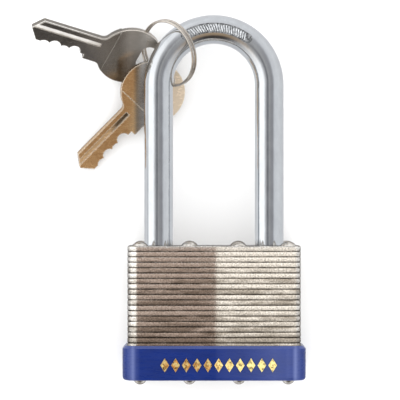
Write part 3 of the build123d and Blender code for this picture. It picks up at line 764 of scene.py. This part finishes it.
class PADLOCK_OT_keys(bpy.types.Operator):
    """Finish the key ring and both keys"""

    bl_idname = "padlock.keys"
    bl_label = "Finish Keys"

    def execute(self, context):
        finishes = context.scene.padlock_finishes
        dress(["key_ring"], machined_finish("nickel_ring_wire", finishes.nickel_colour, roughness=0.16))
        dress(["key_1"], self.nickel_key(finishes))
        dress(["key_2"], self.brass_key(finishes))
        return {"FINISHED"}

    def nickel_key(self, finishes):
        """Dark polished nickel with painted highlights and shade along it, and a painted highlight in its
        groove.
        """
        nickel = Vector(finishes.nickel_colour)
        # Places across the lock, strengths of the plating's colour, which paint highlights and shade along
        # the key and are lightest towards the ring, and how far it mirrors
        tones = (
            (-0.053, 0.52, 1.0), (-0.034, 0.46, 1.0), (-0.031, 0.44, 1.0), (-0.0275, 0.40, 1.0),
            (-0.0245, 0.40, 0.6), (-0.0215, 0.46, 0.6), (-0.016, 1.0, 1.0),
        )
        # Painted highlight along the groove's flank
        groove_highlight = (1.0, 0.97, 0.93)
        return key_finish(
            "key_1", "nickel_key",
            tones=[(x, tuple(nickel * strength), shine) for x, strength, shine in tones],
            groove_tones=((-0.050, groove_highlight), (-0.038, groove_highlight), (-0.032, tuple(nickel))),
            edge_colour=tuple(finishes.nickel_edge_wear_and_highlight_colour), edge_radius=0.0003, wall_shade=0.9, roughness=0.2,
        )

    def brass_key(self, finishes):
        """Polished brass with a painted reflection of the shackle's leg across the bow, a painted pale
        reflection on its right, and a groove darkened as painted shade.
        """
        brass = Vector(finishes.key_brass_colour)
        polished = tuple(brass)
        painted_sheen = tuple(finishes.pale_brass_sheen_colour)
        leg_reflection_brown, leg_reflection_grey, leg_reflection_pale_grey = (0.32, 0.25, 0.18), (0.36, 0.33, 0.30), (0.45, 0.43, 0.41)
        # Places across the lock, colours, which paint the leg's reflection across the bow and a pale
        # reflection on its right, and how far they mirror
        tones = (
            (-0.044, polished, 1.0), (-0.0285, tuple(brass * 0.94), 1.0), (-0.0255, polished, 1.0),
            (-0.0237, polished, 1.0), (-0.0226, leg_reflection_brown, 1.0), (-0.0212, leg_reflection_grey, 1.0),
            (-0.0195, leg_reflection_pale_grey, 1.0), (-0.0125, painted_sheen, 0.25), (-0.008, painted_sheen, 0.25),
        )
        # Places across the lock and strengths of the brass in the groove, which darken it as painted shade
        groove_strengths = ((-0.0305, 0.66), (-0.0285, 0.14), (-0.026, 0.11))
        return key_finish(
            "key_2", "brass_key",
            tones=tones,
            groove_tones=[(x, tuple(brass * strength)) for x, strength in groove_strengths],
            edge_colour=tuple(finishes.brass_rim_wear_and_highlight_colour), edge_radius=0.0005, wall_shade=0.5, roughness=0.24,
        )


class PADLOCK_OT_mechanism(bpy.types.Operator):
    """Finish the pieces inside the lock"""

    bl_idname = "padlock.mechanism"
    bl_label = "Finish Mechanism"

    def execute(self, context):
        finishes = context.scene.padlock_finishes
        brass = machined_finish("machined_lock_brass", finishes.lock_brass_colour, roughness=0.28)
        steel = machined_finish("oiled_lock_steel", finishes.steel_colour, roughness=0.3)
        key_pins = [name for name in nodes_of_frame if name.startswith("key_pin_")]
        dress(key_pins + ["plug", "cylinder_shell", "chamber_cover", "driver_pins"], brass)
        dress(
            ["heel_dog", "toe_dog", "cam", "tailpiece", "shackle_clip", "plug_clip",
             "shackle_spring", "pin_springs"],
            steel,
        )
        return {"FINISHED"}


class PADLOCK_OT_stage(bpy.types.Operator):
    """Lay the floor, hang the cards, light the room and set the camera"""

    bl_idname = "padlock.stage"
    bl_label = "Set Stage"

    def execute(self, context):
        studio = context.scene.padlock_studio
        self.lay_floor(context, studio)
        self.hang_cards(context, studio)
        self.light(context, studio)
        self.set_camera(context, studio)
        return {"FINISHED"}

    def lay_floor(self, context, studio):
        """A wide pale floor just under the lock."""
        floor_size, floor_gap = 6.0, 0.0002
        select_only()
        bpy.ops.mesh.primitive_plane_add(size=floor_size, location=(0.0, 0.0, -floor_gap))
        floor = context.active_object
        floor.name = "floor"
        material, _, shader = start_finish("pale_floor")
        shader.inputs["Base Color"].default_value = (*studio.floor_colour, 1.0)
        shader.inputs["Roughness"].default_value = 0.9
        shader.inputs["Specular IOR Level"].default_value = 0.1
        floor.data.materials.append(material)
        floor.visible_glossy = False

    def hang_cards(self, context, studio):
        """Cards side by side over the lock, for its metal and its bumper to mirror."""
        pad_overhang, pad_inset, white_overhang = 0.0012, 0.0018, 0.008
        side_inset, side_overhang, side_drop = 0.0042, 0.0006, 0.001
        head_drop, side_step = 0.0003, 0.00002
        level = front_height + studio.card_height
        side_level = level - side_step
        foot, shoulder = bumper_low.y, bumper_high.y
        head, side_head = stack_top - head_drop, shoulder - side_drop
        pad_start, pad_end = stack_low.x - pad_overhang, stack_low.x + pad_inset
        white_start, white_end = studio.card_edge, stack_high.x + white_overhang
        side_start, side_end = stack_high.x - side_inset, stack_high.x + side_overhang
        cards = (
            ("brown_card", studio.brown_card_colour, (pad_end, foot, white_start, head), level),
            ("white_card", studio.white_card_colour, (white_start, foot, white_end, head), level),
            ("pad_card", studio.pad_card_colour, (pad_start, shoulder, pad_end, head), level),
            ("side_card", studio.side_card_colour, (side_start, foot, side_end, side_head), side_level),
        )
        for name, colour, corners, height in cards:
            self.hang_card(context, name, colour, corners, height)

    def hang_card(self, context, name, colour, corners, height):
        """A glowing card over a part of the lock, seen only in what mirrors it."""
        select_only()
        left, foot, right, head = corners
        bpy.ops.mesh.primitive_plane_add(size=1.0)
        card = context.active_object
        card.name = name
        card.scale = (right - left, head - foot, 1.0)
        card.location = ((left + right) / 2, (foot + head) / 2, height)
        material, _, shader = start_finish(name)
        shader.inputs["Base Color"].default_value = (0.0, 0.0, 0.0, 1.0)
        shader.inputs["Emission Color"].default_value = (*colour, 1.0)
        shader.inputs["Emission Strength"].default_value = 1.0
        card.data.materials.append(material)
        card.visible_camera = False
        card.visible_diffuse = False
        card.visible_shadow = False

    def light(self, context, studio):
        """An even white room, with softboxes' bands across and along the lock for what mirrors them."""
        world = bpy.data.worlds.new("studio")
        context.scene.world = world
        world.use_nodes = True
        tree = world.node_tree
        directions = coordinate_axes(tree, "Generated")
        x, y, z = directions["X"], directions["Y"], directions["Z"]
        across = self.bands(tree, x, z, (
            (-140.0, (0.80, 0.80, 0.82)), (-112.0, (0.95, 0.96, 0.98)), (-97.0, (0.70, 0.71, 0.73)),
            (-83.0, (1.6, 1.6, 1.6)), (-44.0, (1.6, 1.6, 1.6)), (-30.0, (0.70, 0.70, 0.71)),
            (-13.0, (0.18, 0.18, 0.19)), (-4.0, (0.42, 0.42, 0.43)), (26.0, (0.36, 0.36, 0.38)),
            (42.0, (0.86, 0.87, 0.90)), (78.0, (0.92, 0.93, 0.95)), (112.0, (0.86, 0.87, 0.89)),
            (140.0, (0.80, 0.80, 0.82)),
        ))
        along = self.bands(tree, y, z, (
            (-140.0, (0.75, 0.75, 0.77)), (-100.0, (0.70, 0.71, 0.73)), (-88.0, (0.45, 0.45, 0.46)),
            (-80.0, (0.10, 0.09, 0.085)), (-64.0, (0.045, 0.04, 0.035)), (-54.0, (0.12, 0.09, 0.07)),
            (-45.0, (0.42, 0.30, 0.19)), (-30.0, (0.52, 0.40, 0.28)), (-18.0, (0.46, 0.45, 0.43)),
            (20.0, (0.60, 0.60, 0.61)), (46.0, (0.90, 0.90, 0.92)), (84.0, (1.0, 1.01, 1.03)),
            (140.0, (0.90, 0.90, 0.92)),
        ))
        x_squared = math_node(tree, "MULTIPLY", x, x)
        y_squared = math_node(tree, "MULTIPLY", y, y)
        never_zero = 0.0001
        sideways = math_node(tree, "ADD", math_node(tree, "ADD", x_squared, y_squared), never_zero)
        lengthwise = math_node(tree, "DIVIDE", y_squared, sideways)
        softboxes = blend_colours(tree, lengthwise, across, along)
        path = tree.nodes.new("ShaderNodeLightPath")
        seen = blend_colours(tree, path.outputs["Is Glossy Ray"], (studio.room_light,) * 3, softboxes)
        tree.links.new(seen, tree.nodes["Background"].inputs["Color"])

    def bands(self, tree, sideways, up, stops):
        """Colours by the angle from straight up, in degrees, towards one side."""
        turn = math_node(tree, "ARCTAN2", sideways, up)
        share = math_node(tree, "ADD", math_node(tree, "DIVIDE", turn, 2 * math.pi), 0.5)
        return ramp(tree, share, tuple((0.5 + angle / 360.0, colour) for angle, colour in stops))

    def set_camera(self, context, studio):
        """A camera straight above the lock, with the crown at the top of the picture."""
        select_only()
        height = front_height + studio.camera_height
        bpy.ops.object.camera_add(location=(studio.view_centre[0], studio.view_centre[1], height))
        camera = context.active_object
        camera.name = "photo_camera"
        sensor_width = 36.0
        camera.data.sensor_width = sensor_width
        camera.data.lens = sensor_width * studio.camera_height / studio.view_width
        camera.data.clip_end = 20.0
        context.scene.camera = camera
        context.scene.view_settings.view_transform = "Standard"


class PADLOCK_PT_panel(bpy.types.Panel):
    """Steps and settings of the padlock"""

    bl_idname = "PADLOCK_PT_panel"
    bl_label = "Padlock"
    bl_space_type = "VIEW_3D"
    bl_region_type = "UI"
    bl_category = "Padlock"

    def draw(self, context):
        column = self.layout.column()
        for operator in operators:
            column.operator(operator.bl_idname)
        for group in settings_groups:
            settings = getattr(context.scene, group)
            for name in settings.__annotations__:
                column.prop(settings, name)


operators = (
    PADLOCK_OT_stack,
    PADLOCK_OT_bumper,
    PADLOCK_OT_shackle,
    PADLOCK_OT_keys,
    PADLOCK_OT_mechanism,
    PADLOCK_OT_stage,
)
settings_groups = {
    "padlock_finishes": PadlockFinishes,
    "padlock_trim": PadlockTrim,
    "padlock_studio": PadlockStudio,
}


def register():
    for group in settings_groups.values():
        bpy.utils.register_class(group)
    for operator in operators:
        bpy.utils.register_class(operator)
    bpy.utils.register_class(PADLOCK_PT_panel)
    for name, group in settings_groups.items():
        setattr(bpy.types.Scene, name, bpy.props.PointerProperty(type=group))


def unregister():
    for name in settings_groups:
        delattr(bpy.types.Scene, name)
    bpy.utils.unregister_class(PADLOCK_PT_panel)
    for operator in reversed(operators):
        bpy.utils.unregister_class(operator)
    for group in reversed(settings_groups.values()):
        bpy.utils.unregister_class(group)


def main():
    """Register the add-on and run its steps in order."""
    register()
    bpy.ops.padlock.stack()
    bpy.ops.padlock.bumper()
    bpy.ops.padlock.shackle()
    bpy.ops.padlock.keys()
    bpy.ops.padlock.mechanism()
    bpy.ops.padlock.stage()
    select_only()


if __name__ == "__main__":
    main()
